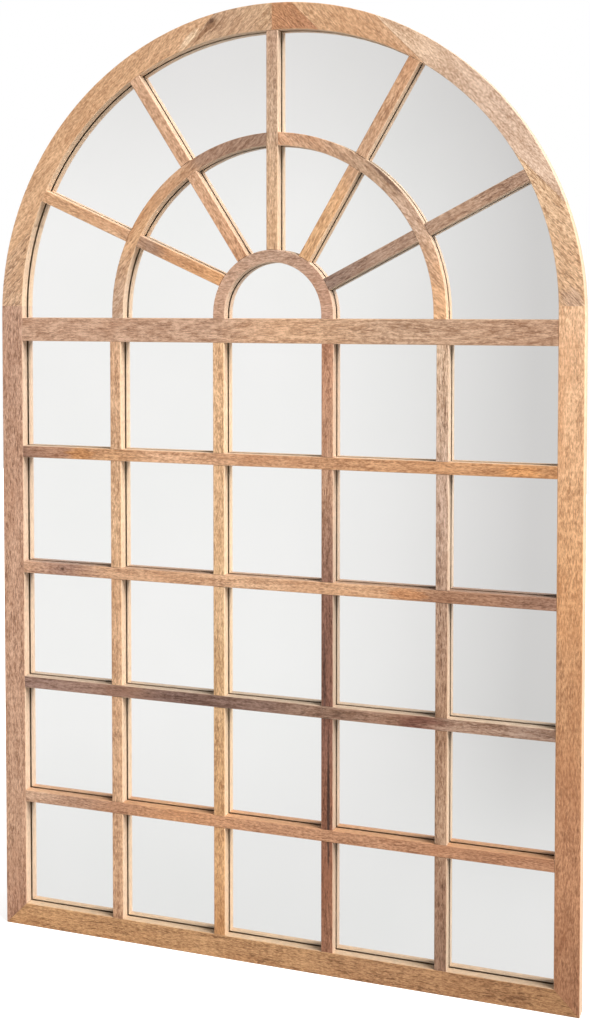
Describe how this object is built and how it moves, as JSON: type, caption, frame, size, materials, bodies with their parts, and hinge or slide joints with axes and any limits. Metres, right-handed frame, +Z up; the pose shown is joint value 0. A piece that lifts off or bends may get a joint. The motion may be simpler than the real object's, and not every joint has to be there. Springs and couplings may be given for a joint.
{
  "type": "arched window mirror",
  "caption": "Tall wall mirror in a wooden frame shaped like an arched window, with a grid of muntins below and a sunburst head above.",
  "frame": {"origin": "middle of the bottom rail's lower edge, half way through the frame's thickness", "axes": "+X to the right as seen from the front, +Y from the front towards the wall, +Z up"},
  "size_m": [1.15, 0.0376, 1.8],
  "materials": {
    "frame_wood": "clear matt wax on mango wood, boards of differing tan",
    "bar_wood": "clear matt wax on mango wood, each bar of its own tan or brown",
    "tenon_wood": "bare hardwood",
    "mirror_glass": "clear float glass, silvered at the back",
    "backing_board": "bare brown fibreboard",
    "screw_steel": "zinc-plated steel",
    "hanger_steel": "zinc-plated steel",
    "bumper_rubber": "matt rubber"
  },
  "bodies": {
    "mirror": {"left_stile": "frame_wood", "right_stile": "frame_wood", "bottom_rail": "frame_wood", "arch_left_crown": "frame_wood", "arch_left_middle": "frame_wood", "arch_left_foot": "frame_wood", "arch_right_crown": "frame_wood", "arch_right_upper": "frame_wood", "arch_right_middle": "frame_wood", "arch_right_foot": "frame_wood", "crown_tenon": "tenon_wood", "left_spring_tenon": "tenon_wood", "right_spring_tenon": "tenon_wood", "left_mitre_tenon": "tenon_wood", "right_mitre_tenon": "tenon_wood", "transom": "bar_wood", "level_muntin_1": "bar_wood", "level_muntin_2": "bar_wood", "level_muntin_3": "bar_wood", "level_muntin_4": "bar_wood", "upright_muntin_1": "bar_wood", "upright_muntin_2": "bar_wood", "upright_muntin_3": "bar_wood", "upright_muntin_4": "bar_wood", "spoke_right_lower": "bar_wood", "spoke_right_upper": "bar_wood", "spoke_centre": "bar_wood", "spoke_left_upper": "bar_wood", "spoke_left_lower": "bar_wood", "quarter_arc_left": "bar_wood", "quarter_arc_right": "bar_wood", "ring_arc": "bar_wood", "mirror_glass": "mirror_glass", "backing_board": "backing_board", "board_screw_1": "screw_steel", "board_screw_2": "screw_steel", "board_screw_3": "screw_steel", "board_screw_4": "screw_steel", "board_screw_5": "screw_steel", "board_screw_6": "screw_steel", "board_screw_7": "screw_steel", "board_screw_8": "screw_steel", "board_screw_9": "screw_steel", "board_screw_10": "screw_steel", "board_screw_11": "screw_steel", "board_screw_12": "screw_steel", "left_hanger_strap": "hanger_steel", "left_hanger_screw_1": "screw_steel", "left_hanger_screw_2": "screw_steel", "right_hanger_strap": "hanger_steel", "right_hanger_screw_1": "screw_steel", "right_hanger_screw_2": "screw_steel", "left_bumper": "bumper_rubber", "right_bumper": "bumper_rubber"},
    "left_ring": {"left_hanger_ring": "hanger_steel"},
    "right_ring": {"right_hanger_ring": "hanger_steel"}
  },
  "joints": [
    {"name": "left_ring_swing", "type": "hinge", "parent": "mirror", "child": "left_ring", "pos_m": [-0.56, 0.0188, 1.18], "axis": [1, 0, 0], "range_deg": [0, 180]},
    {"name": "right_ring_swing", "type": "hinge", "parent": "mirror", "child": "right_ring", "pos_m": [0.56, 0.0188, 1.18], "axis": [1, 0, 0], "range_deg": [0, 180]}
  ]
}
